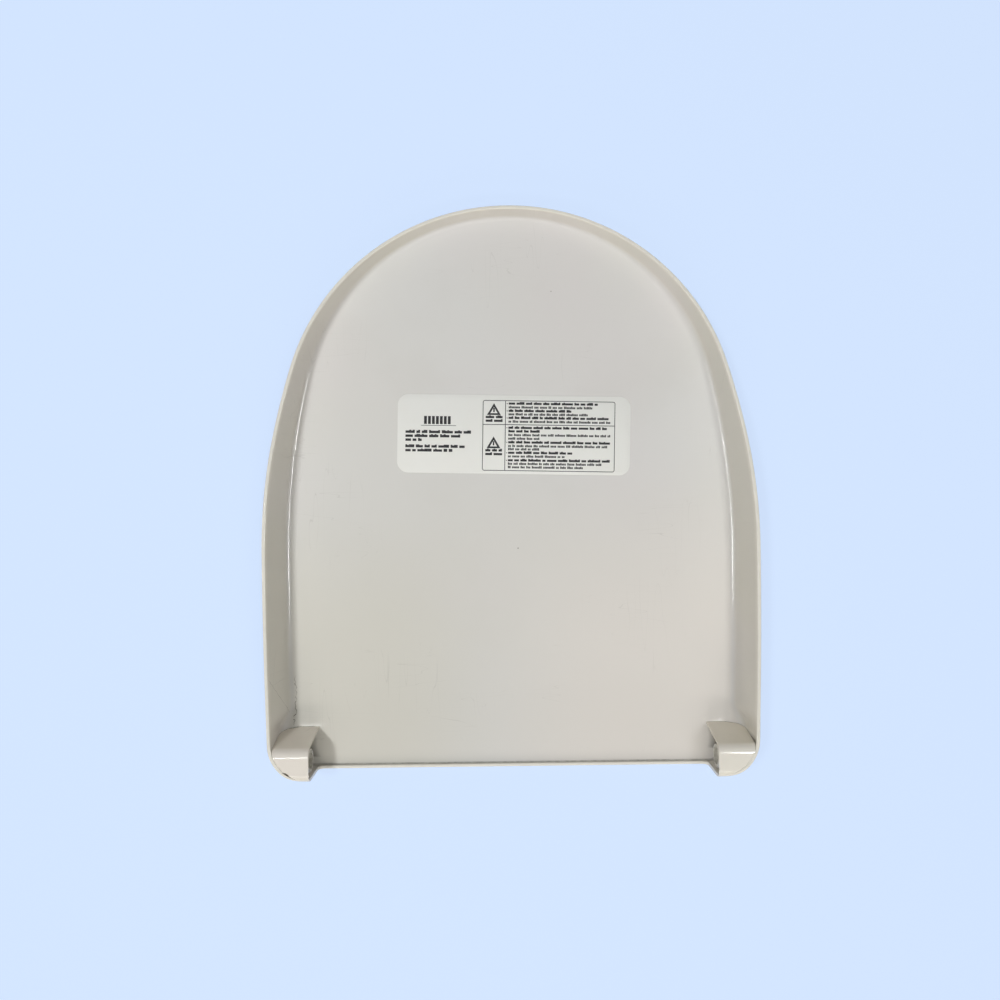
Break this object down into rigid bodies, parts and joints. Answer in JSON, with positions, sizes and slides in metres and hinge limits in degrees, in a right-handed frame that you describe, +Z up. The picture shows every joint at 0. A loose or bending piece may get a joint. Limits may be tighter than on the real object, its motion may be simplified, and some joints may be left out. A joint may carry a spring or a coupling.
{
  "type": "electric bidet seat lid",
  "caption": "Round-fronted glossy plastic lid of an electric bidet seat, lying open side up, with covered hinge bosses in its rear corners and a sticker inside.",
  "frame": {"origin": "middle of the lid's length and width, on the flat outer face that it lies on", "axes": "+X to the right, +Y towards the round front end, +Z up out of the open underside; the hinge axis runs along X near the back"},
  "size_m": [0.382, 0.45, 0.042],
  "materials": {
    "shell_plastic": "glossy, slightly aged warm white",
    "cover_plastic": "glossy, slightly aged warm white",
    "sleeve_plastic": "satin, off-white acetal",
    "label_film": "satin white film, printed black"
  },
  "bodies": {
    "root": {"lid_shell": "shell_plastic", "hinge_cover_left": "cover_plastic", "hinge_cover_right": "cover_plastic", "damper_socket_left": "sleeve_plastic", "pivot_bush_right": "sleeve_plastic", "caution_label": "label_film"}
  },
  "joints": []
}
